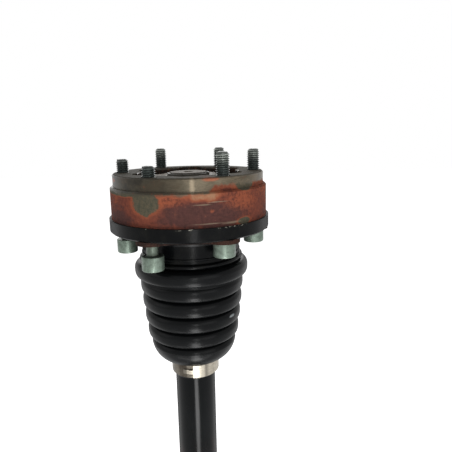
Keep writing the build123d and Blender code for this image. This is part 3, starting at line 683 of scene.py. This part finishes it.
def make_piece(name, mesh, material):
    """Object made of a bmesh, shaded smooth but for its sharp edges."""
    for face in mesh.faces:
        face.smooth = True
    for edge in mesh.edges:
        edge.smooth = len(edge.link_faces) == 2 and edge.calc_face_angle(0.0) < SMOOTH_ANGLE
    data = bpy.data.meshes.new(name)
    mesh.to_mesh(data)
    mesh.free()
    data.materials.append(material)
    piece = bpy.data.objects.new(name, data)
    bpy.context.scene.collection.objects.link(piece)
    return piece


def dress(nodes, material):
    """Give CAD nodes a material."""
    for node in nodes:
        data = frame["nodes"][node].data
        data.materials.clear()
        data.materials.append(material)


# Sizes of the boots, in millimetres and degrees
BOOT_DEPTH = 4.2
BOOT_RISE = 4.1
BOOT_FALL = 5.8
CREST_DROP = 1.3
BOOT_SHOULDER = 75.0
BOOT_FOLD = 0.9
SHALLOW_SHOULDER = 42.0
SHALLOW_FOLD = 0.15
BAR_BORE = 13.85
TAIL_RADIUS = 15.5
TAIL_CHAMFER = 1.6
SLEEVE_RADII = (29.2, 30.2)
LIP_DROP = 6.3
FIRST_CREST_DROP = 2.9
LIP_STEP = 1.0
BORE_CHAMFER = 0.8
INNER_CRESTS = (37.6, 34.3, 33.4, 32.3, 31.0, 28.8)
INNER_BELLY = 13.9
BELL_RADII = (40.45, 42.85)
BELL_MOUTH = 14.3
OUTER_CRESTS = 5
OUTER_CREST_RADII = (43.0, 25.65)
OUTER_CREST_HEIGHTS = (22.5, 64.0)
OUTER_END = 76

# Points and steps that the boots are drawn with
ROUND_POINTS = 9
FLANK_POINTS = 12
BELLY_POINTS = 13
BOOT_STEPS = 160

# Flare and width of a fold as shares of its depth and gap, and powers that square off flank and belly
FOLD_FLARE = 0.25
FOLD_WIDTH = 0.45
FLANK_SQUARENESS = 0.6
BELLY_FULLNESS = 1.12
BELLY_SQUARENESS = 0.92


def convolution(crest, side, inset, shoulder_from=BOOT_SHOULDER):
    """Outline round one convolution, from its shoulder over its crest to its lower flank."""
    radius, height = crest
    centre = (radius - inset - BOOT_DEPTH, height - side * CREST_DROP)
    shoulder = arc_points(centre, (BOOT_DEPTH, side * BOOT_RISE), shoulder_from, 0, ROUND_POINTS)
    flank = []
    for number in range(1, FLANK_POINTS + 1):
        angle = math.radians(BOOT_SHOULDER * number / FLANK_POINTS)
        across = math.cos(angle) ** FLANK_SQUARENESS
        down = math.sin(angle) ** FLANK_SQUARENESS
        flank.append((centre[0] + BOOT_DEPTH * across, centre[1] - side * BOOT_FALL * down))
    return shoulder + flank


def fold_between(upper, lower, depth=BOOT_FOLD):
    """Rounded bottom of the fold between two convolutions."""
    radius = min(upper[0], lower[0]) - depth
    middle = (upper[1] + lower[1]) / 2
    gap = (lower[1] - upper[1]) / 2
    beside = radius + depth * FOLD_FLARE
    return [(beside, middle - gap * FOLD_WIDTH), (radius, middle), (beside, middle + gap * FOLD_WIDTH)]


def belly(crest, tail, inset):
    """Round from the last crest down to the small end's sleeve."""
    radius = crest[0] - inset
    points = []
    for number in range(1, BELLY_POINTS + 1):
        turn = math.radians(90 * number / BELLY_POINTS)
        along = math.sin(turn) ** BELLY_FULLNESS
        out = math.cos(turn) ** BELLY_SQUARENESS
        points.append((tail[0] + (radius - tail[0]) * out, crest[1] + (tail[1] - crest[1]) * along))
    return points


def over_crests(line, crests, side, inset):
    """Outline carried on over more convolutions, with a fold before each, to the last one's crest."""
    for crest in crests:
        points = convolution(crest, side, inset)
        if crest is crests[-1]:
            points = points[:ROUND_POINTS]
        line += fold_between(line[-1], points[0]) + points
    return line


def small_end(end, side):
    """Outline of the small end's sleeve, from its outer face to its bore."""
    return [(TAIL_RADIUS, end + side * TAIL_CHAMFER), (BAR_BORE + BORE_CHAMFER, end), (BAR_BORE, end)]


class DRIVESHAFT_OT_inner_boot(bpy.types.Operator):
    """Model the gearbox end's bellows in two bands that meet in a fold"""

    bl_idname = "driveshaft.inner_boot"
    bl_label = "Gearbox boot"

    def execute(self, context):
        wall = context.scene.driveshaft_sizes.boot_wall / MM
        pitch = context.scene.driveshaft_sizes.boot_pitch / MM
        low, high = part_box("inner_boot")
        sleeve_top = high.z / MM
        lip = sleeve_top - LIP_DROP
        first_height = lip - FIRST_CREST_DROP
        crests = [(radius, first_height - pitch * number) for number, radius in enumerate(INNER_CRESTS)]
        boot_end = crests[-1][1] - INNER_BELLY
        first = convolution(crests[0], 1, 0)
        first_inside = convolution(crests[0], 1, wall)
        second = convolution(crests[1], 1, 0, SHALLOW_SHOULDER)
        second_inside = convolution(crests[1], 1, wall, SHALLOW_SHOULDER)
        seam = fold_between(first[-1], second[0], SHALLOW_FOLD)
        seam_in = fold_between(first_inside[-1], second_inside[0], SHALLOW_FOLD)
        material = rubber_finish()

        outside = first + seam[:2]
        inside = first_inside[ROUND_POINTS - 1 :] + seam_in[:2]
        bore, outer = SLEEVE_RADII
        sleeve = [(outer, lip - wall), (bore, lip - LIP_STEP), (bore, sleeve_top), (outer, sleeve_top)]
        mesh = spun_outline(outside + inside[::-1] + sleeve + [(outer, lip)], BOOT_STEPS)
        upper = make_piece("inner_boot_upper", mesh, material)
        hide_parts("inner_boot")
        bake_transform(upper)

        outside = over_crests(seam[1:] + second, crests[2:], 1, 0)
        outside += belly(crests[-1], (TAIL_RADIUS, boot_end), 0) + small_end(low.z / MM, 1)
        inside = over_crests(seam_in[1:] + second_inside, crests[2:], 1, wall)
        inside += belly(crests[-1], (BAR_BORE, boot_end + wall), wall)
        lower = make_piece("inner_boot_lower", spun_outline(outside + inside[::-1], BOOT_STEPS), material)
        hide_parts("inner_boot")
        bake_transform(lower)
        return {"FINISHED"}


class DRIVESHAFT_OT_outer_boot(bpy.types.Operator):
    """Model the wheel end's bellows"""

    bl_idname = "driveshaft.outer_boot"
    bl_label = "Wheel boot"

    def execute(self, context):
        wall = context.scene.driveshaft_sizes.boot_wall / MM
        low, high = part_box("outer_boot")
        sleeve_bottom = low.z / MM
        centre = OUTER_CENTRE.z / MM
        end = centre + OUTER_END
        mouth = centre + BELL_MOUTH
        crests = []
        for number in range(OUTER_CRESTS):
            share = number / (OUTER_CRESTS - 1)
            radius = OUTER_CREST_RADII[0] + (OUTER_CREST_RADII[1] - OUTER_CREST_RADII[0]) * share
            height = OUTER_CREST_HEIGHTS[0] + (OUTER_CREST_HEIGHTS[1] - OUTER_CREST_HEIGHTS[0]) * share
            crests.append((radius, centre + height))
        bore, outer = BELL_RADII
        first = convolution(crests[0], -1, 0)
        neck = first[0][0] - BOOT_FOLD
        outside = [(outer, sleeve_bottom), (outer, mouth), (neck, mouth + BOOT_FOLD)] + first
        outside = over_crests(outside, crests[1:], -1, 0)
        outside += belly(crests[-1], (TAIL_RADIUS, end), 0) + small_end(high.z / MM, -1)
        inside = [(bore, sleeve_bottom), (bore, mouth), (neck - wall, mouth)]
        inside += convolution(crests[0], -1, wall)[ROUND_POINTS - 1 :]
        inside = over_crests(inside, crests[1:], -1, wall)
        inside += belly(crests[-1], (BAR_BORE, end - wall), wall)
        mesh = spun_outline(outside + inside[::-1], BOOT_STEPS)
        piece = make_piece("outer_boot_bellows", mesh, rubber_finish())
        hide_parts("outer_boot")
        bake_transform(piece)
        return {"FINISHED"}


# Sizes of the screws that their settings leave open, in millimetres or in pitches of the thread
SOCKET_RADIUS = 3.0
SOCKET_DEPTH = 4.0
SOCKET_MOUTH = 4.2
HEAD_ROUND = 0.9
SEAT_ROUND = 0.5
SOCKET_CHAMFER = 0.3
SHANK_CONE = (0.4, 0.6)
TIP_CHAMFER = 0.8
THREAD_SINK = 0.1
SCREW_STEPS = 48
THREAD_DEPTH = 0.6
THREAD_FADE = 1.3
THREAD_FOOT = 0.46
THREAD_CREST = 0.07
THREAD_STEPS = 28
SCREW_DROPS = (0.0, 0.0, 0.0, 5.0, 7.2, 0.0)
SCREW_TURN = 37


def screw_mesh(sizes, seat):
    """Socket head screw standing on the axis, with its seat at this height in millimetres."""
    head = sizes.head_radius / MM
    bottom = seat - sizes.head_height / MM
    tip = seat + sizes.screw_length / MM
    thread = sizes.thread_radius / MM
    pitch = sizes.thread_pitch / MM
    core = thread - THREAD_DEPTH * pitch
    shank = sizes.shank_radius / MM
    thread_start = tip - sizes.thread_length / MM
    socket_top = bottom + SOCKET_DEPTH
    outline = [(0, socket_top), (SOCKET_RADIUS, socket_top)]
    outline += [(SOCKET_RADIUS, bottom + SOCKET_CHAMFER), (SOCKET_MOUTH, bottom)]
    for height, side, rounding, start, count in (
        (bottom, 1, HEAD_ROUND, -90, 5),
        (seat, -1, SEAT_ROUND, 0, 4),
    ):
        centre = (head - rounding, height + side * rounding)
        outline += arc_points(centre, (rounding, rounding), start, start + 90, count)
    outline += [(shank + SEAT_ROUND, seat), (shank, seat + SEAT_ROUND)]
    outline += [(shank, thread_start - SHANK_CONE[0]), (core, thread_start + SHANK_CONE[1])]
    outline += [(core, tip - TIP_CHAMFER), (core - 0.6, tip - 0.15), (core - 1.0, tip), (0, tip)]
    body = spun_outline(outline, SCREW_STEPS, closed=False)
    for vertex in body.verts:
        radius = math.hypot(vertex.co.x, vertex.co.y) / MM
        if abs(radius - SOCKET_RADIUS) < 0.01 and vertex.co.z < (socket_top + 0.1) * MM:
            turn = math.degrees(math.atan2(vertex.co.y, vertex.co.x)) % 60 - 30
            factor = 1 / math.cos(math.radians(turn))
            vertex.co.x *= factor
            vertex.co.y *= factor
    return joined([body, thread_ridge(core, thread, pitch, thread_start, tip)])


def thread_ridge(core, crest, pitch, bottom, top):
    """Helical ridge of a thread, closed, fading into the core at both ends."""
    turns = (top - bottom - pitch) / pitch
    steps = int(turns * THREAD_STEPS)
    mesh = bmesh.new()
    foot = core - THREAD_SINK
    section = ((foot, -THREAD_FOOT), (crest, -THREAD_CREST), (crest, THREAD_CREST), (foot, THREAD_FOOT))
    points = []
    for radius, share in section:
        points.append(mesh.verts.new((radius * MM, 0, (bottom + pitch / 2 + share * pitch) * MM)))
    face = mesh.faces.new(points)
    bmesh.ops.spin(
        mesh,
        geom=points + list(face.edges) + [face],
        cent=(0, 0, 0),
        axis=(0, 0, 1),
        dvec=(0, 0, pitch * MM / THREAD_STEPS),
        angle=math.tau * steps / THREAD_STEPS,
        steps=steps,
        use_duplicate=False,
    )
    bmesh.ops.recalc_face_normals(mesh, faces=mesh.faces)
    start = (bottom + pitch) * MM
    end = (top - THREAD_FADE * pitch) * MM
    for vertex in mesh.verts:
        height = vertex.co.z
        fade = min(1.0, (height - start) / (pitch * MM) + 1.0, (end - height) / (pitch * MM) + 1.0)
        radius = math.hypot(vertex.co.x, vertex.co.y)
        wanted = min(radius, (core + (crest - core) * max(fade, 0.0)) * MM)
        vertex.co.x *= wanted / radius
        vertex.co.y *= wanted / radius
    return mesh


class DRIVESHAFT_OT_flange_screws(bpy.types.Operator):
    """Model the six flange screws with their threads, two of them standing loose"""

    bl_idname = "driveshaft.flange_screws"
    bl_label = "Flange screws"

    def execute(self, context):
        sizes = context.scene.driveshaft_sizes
        material = zinc_finish()
        for number, drop in enumerate(SCREW_DROPS):
            angle = SCREW_ANGLE * number
            mesh = screw_mesh(sizes, -sizes.seat_height / MM - drop)
            turn = Matrix.Rotation(math.radians(SCREW_TURN * number), 4, "Z")
            place = Vector((math.cos(angle), math.sin(angle), 0)) * sizes.bolt_circle
            bmesh.ops.transform(mesh, matrix=Matrix.Translation(place) @ turn, verts=mesh.verts)
            piece = make_piece(f"flange_screw_{number + 1}", mesh, material)
            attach(piece, "inner_joint")
            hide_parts("flange_screws")
        return {"FINISHED"}


# Clamps: node, radius it sits on, body, and where its second layer begins, in millimetres and degrees
CLAMPS = (
    ("inner_boot_clamp", TAIL_RADIUS, "drive_shaft", 267),
    ("outer_boot_small_clamp", TAIL_RADIUS, "drive_shaft", 40),
    ("outer_boot_large_clamp", BELL_RADII[1], "outer_joint", 150),
)
BAND_THICKNESS = 0.6
BAND_CORNER = 0.15


def clamp_mesh(seat, middle, width, lap_angle):
    """Band clamp: a band, a second layer lapped over half of it, its tongue and the hook that holds it."""
    # Layer, thickness, share of the width, start, turn and steps
    stretches = (
        (0, BAND_THICKNESS, 1, 0, 360, 128),
        (1, BAND_THICKNESS, 1, lap_angle, 215, 80),
        (1, BAND_THICKNESS, 0.36, lap_angle - 24, 24.5, 10),
        (2, 0.5, 0.34, lap_angle - 9, 8, 4),
    )
    meshes = []
    for layer, depth, share, start, turn, steps in stretches:
        inner = seat + 0.05 + layer * BAND_THICKNESS
        outer = inner + depth
        low = middle - width / 2 * share
        high = middle + width / 2 * share
        outline = [(inner, low), (outer - BAND_CORNER, low), (outer, low + BAND_CORNER)]
        outline += [(outer, high - BAND_CORNER), (outer - BAND_CORNER, high), (inner, high)]
        meshes.append(spun_outline(outline, steps, start=math.radians(start), angle=math.radians(turn)))
    return joined(meshes)


class DRIVESHAFT_OT_clamps(bpy.types.Operator):
    """Model the three band clamps"""

    bl_idname = "driveshaft.clamps"
    bl_label = "Band clamps"

    def execute(self, context):
        sizes = context.scene.driveshaft_sizes
        material = band_finish()
        for node, seat, body, angle in CLAMPS:
            low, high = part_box(node)
            middle = (low.z + high.z) / 2 / MM
            mesh = clamp_mesh(seat, middle, sizes.clamp_width / MM, angle)
            piece = make_piece(f"{node}_band", mesh, material)
            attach(piece, body)
            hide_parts(node)
        return {"FINISHED"}


class DRIVESHAFT_OT_joint_ring(bpy.types.Operator):
    """Finish the gearbox joint's ring"""

    bl_idname = "driveshaft.joint_ring"
    bl_label = "Joint ring"

    def execute(self, context):
        dress(["inner_joint_ring"], ring_finish())
        return {"FINISHED"}


class DRIVESHAFT_OT_cap_and_plates(bpy.types.Operator):
    """Finish the boot cap and the backing plates"""

    bl_idname = "driveshaft.cap_and_plates"
    bl_label = "Cap and plates"

    def execute(self, context):
        dress(["boot_cap"], cap_finish())
        dress(["backing_plate_left", "backing_plate_right", "backing_plate_front"], plate_finish())
        return {"FINISHED"}


class DRIVESHAFT_OT_mechanism(bpy.types.Operator):
    """Finish balls, cages, races, circlips and washers of both joints"""

    bl_idname = "driveshaft.mechanism"
    bl_label = "Inner mechanism"

    def execute(self, context):
        ground = []
        springs = ["outer_thrust_ring"]
        for end in ("inner", "outer"):
            ground += [f"{end}_joint_cage", f"{end}_joint_balls", f"{end}_joint_race"]
            springs += [f"{end}_race_circlip", f"{end}_dished_washer"]
        dress(ground, ground_finish())
        dress(springs, spring_finish())
        return {"FINISHED"}


class DRIVESHAFT_OT_bar_and_housing(bpy.types.Operator):
    """Finish the bar and the wheel joint's housing"""

    bl_idname = "driveshaft.bar_and_housing"
    bl_label = "Bar and housing"

    def execute(self, context):
        dress(["shaft_bar"], bar_finish())
        dress(["outer_joint_housing"], housing_finish())
        return {"FINISHED"}


# Lamps: name, place, aim, width, height and power, in metres and watts
AIM = (0, 0, -0.08)
LAMPS = (
    ("front_strip", (0.06, -0.5, -0.06), (0, 0, -0.02), 0.04, 0.3, 0.55),
    ("low_strip", (0.036, -0.29, -0.53), (0.036, -0.29, 0), 0.12, 0.34, 1.6),
    ("bar_strip", (0.05, -0.62, -0.53), (0.05, -0.62, 0), 0.2, 0.32, 4.0),
    ("low_front", (0.0, -0.22, -0.54), (0, -0.22, 0), 0.6, 0.1, 0.6),
    ("soft_key", (0.55, -0.75, 0.1), AIM, 0.6, 0.6, 1.85),
    ("soft_left", (-0.9, -0.2, 0.3), AIM, 0.6, 0.6, 0.9),
    ("soft_back", (-0.1, 0.9, 0.4), AIM, 0.8, 0.8, 3.8),
)

# Levels of light, and sizes of floor and camera in metres, but the sensor's in millimetres
ROOM_LEVEL = 0.24
FLOOR_WHITENESS = 0.86
FLOOR_GLOW = (0.4, 1.0)
FLOOR_GLOW_RADII = (0.15, 0.45)
FLOOR_SIZE = 6.0
FLOOR_GAP = 0.002
SENSOR_WIDTH = 36
CLIP_START = 0.01


def add_lamp(name, place, target, width, height, power):
    """Rectangular lamp aimed at a point."""
    data = bpy.data.lights.new(name, "AREA")
    data.shape = "RECTANGLE"
    data.size = width
    data.size_y = height
    data.energy = power
    lamp = bpy.data.objects.new(name, data)
    lamp.location = place
    lamp.rotation_euler = (Vector(target) - Vector(place)).to_track_quat("-Z", "Y").to_euler()
    lamp.visible_camera = False
    bpy.context.scene.collection.objects.link(lamp)


def background_share(tree):
    """Socket that is 1 for what the camera sees straight, in gloss or through glass."""
    path = add_node(tree, "LightPath", {})
    total = path.outputs["Is Camera Ray"]
    for name in ("Is Glossy Ray", "Is Transmission Ray"):
        inputs = {0: total, 1: path.outputs[name]}
        total = add_node(tree, "Math", inputs, operation="MAXIMUM").outputs[0]
    return total


class DRIVESHAFT_OT_stage(bpy.types.Operator):
    """Set up the floor, world, lamps and camera"""

    bl_idname = "driveshaft.stage"
    bl_label = "Stage"

    def execute(self, context):
        self.add_floor()
        self.set_world(context.scene)
        for lamp in LAMPS:
            add_lamp(*lamp)
        self.add_camera(context.scene)
        context.scene.view_settings.view_transform = "Standard"
        return {"FINISHED"}

    def add_floor(self):
        """Pale floor under the stub axle's end, that glows up to white away from the shaft."""
        mesh = bmesh.new()
        bmesh.ops.create_grid(mesh, x_segments=1, y_segments=1, size=FLOOR_SIZE)
        bmesh.ops.translate(mesh, vec=(0, 0, cad_box[0].z - FLOOR_GAP), verts=mesh.verts)
        material = bpy.data.materials.new("pale_floor")
        material.use_nodes = True
        tree = material.node_tree
        tree.nodes.clear()
        diffuse = add_node(tree, "BsdfDiffuse", {"Color": (FLOOR_WHITENESS,) * 3})
        place = add_node(tree, "TexCoord", {}).outputs["Object"]
        flat = add_node(tree, "VectorMath", {0: place, 1: (1, 1, 0)}, operation="MULTIPLY")
        away = add_node(tree, "VectorMath", {0: flat.outputs[0]}, operation="LENGTH")
        ramp = {"Value": away.outputs["Value"]}
        ramp["From Min"], ramp["From Max"] = FLOOR_GLOW_RADII
        ramp["To Min"], ramp["To Max"] = FLOOR_GLOW
        glow = add_node(tree, "MapRange", ramp, interpolation_type="SMOOTHSTEP").outputs[0]
        share = {0: background_share(tree), 1: glow}
        strength = add_node(tree, "Math", share, operation="MULTIPLY")
        lit = add_node(tree, "Emission", {"Strength": strength.outputs[0]})
        both = add_node(tree, "AddShader", {0: diffuse.outputs[0], 1: lit.outputs[0]})
        add_node(tree, "OutputMaterial", {"Surface": both.outputs[0]})
        make_piece("floor", mesh, material)

    def set_world(self, scene):
        """White behind everything, and a plain level of light from all round."""
        world = bpy.data.worlds.new("white_room")
        world.use_nodes = True
        tree = world.node_tree
        background = tree.nodes["Background"]
        share = {"Value": background_share(tree), "To Min": ROOM_LEVEL, "To Max": 1.0}
        level = add_node(tree, "MapRange", share).outputs[0]
        put(tree, (1, 1, 1), background.inputs["Color"])
        put(tree, level, background.inputs["Strength"])
        scene.world = world

    def add_camera(self, scene):
        """Camera at the photograph's place."""
        stage = scene.driveshaft_stage
        level = Vector((math.sin(stage.camera_yaw), math.cos(stage.camera_yaw), 0))
        forward = level * math.cos(stage.camera_pitch) - Vector((0, 0, math.sin(stage.camera_pitch)))
        right = Vector((math.cos(stage.camera_yaw), -math.sin(stage.camera_yaw), 0))
        up = right.cross(forward)
        leaned = right * math.cos(stage.camera_roll) - up * math.sin(stage.camera_roll)
        upright = leaned.cross(forward)
        data = bpy.data.cameras.new("camera")
        data.lens = stage.lens
        data.sensor_width = SENSOR_WIDTH
        data.clip_start = CLIP_START
        camera = bpy.data.objects.new("camera", data)
        axes = Matrix((leaned, upright, -forward)).transposed()
        camera.matrix_world = Matrix.Translation(stage.camera_place) @ axes.to_4x4()
        scene.collection.objects.link(camera)
        scene.camera = camera


class DRIVESHAFT_PT_panel(bpy.types.Panel):
    """Panel that lists the shaft's pieces"""

    bl_idname = "DRIVESHAFT_PT_panel"
    bl_label = "Drive shaft"
    bl_space_type = "VIEW_3D"
    bl_region_type = "UI"
    bl_category = "Drive shaft"

    def draw(self, context):
        for operator in OPERATORS:
            self.layout.operator(operator.bl_idname)
        for setting in SETTINGS:
            group = getattr(context.scene, setting)
            for name in group.bl_rna.properties.keys():
                if name not in {"rna_type", "name"}:
                    self.layout.prop(group, name)


OPERATORS = (
    DRIVESHAFT_OT_joint_ring,
    DRIVESHAFT_OT_cap_and_plates,
    DRIVESHAFT_OT_mechanism,
    DRIVESHAFT_OT_bar_and_housing,
    DRIVESHAFT_OT_flange_screws,
    DRIVESHAFT_OT_inner_boot,
    DRIVESHAFT_OT_outer_boot,
    DRIVESHAFT_OT_clamps,
    DRIVESHAFT_OT_stage,
)
SETTINGS = {
    "driveshaft_colours": DRIVESHAFT_PG_colours,
    "driveshaft_sizes": DRIVESHAFT_PG_sizes,
    "driveshaft_stage": DRIVESHAFT_PG_stage,
}
CLASSES = (*SETTINGS.values(), *OPERATORS, DRIVESHAFT_PT_panel)


def register():
    """Add the classes and their settings."""
    for item in CLASSES:
        bpy.utils.register_class(item)
    for setting, group in SETTINGS.items():
        setattr(bpy.types.Scene, setting, bpy.props.PointerProperty(type=group))


def unregister():
    """Remove the classes and their settings."""
    for setting in SETTINGS:
        delattr(bpy.types.Scene, setting)
    for item in reversed(CLASSES):
        bpy.utils.unregister_class(item)


def main():
    """Dress the frame, piece by piece."""
    register()
    for operator in OPERATORS:
        group, name = operator.bl_idname.split(".")
        getattr(getattr(bpy.ops, group), name)()


if __name__ == "__main__":
    main()
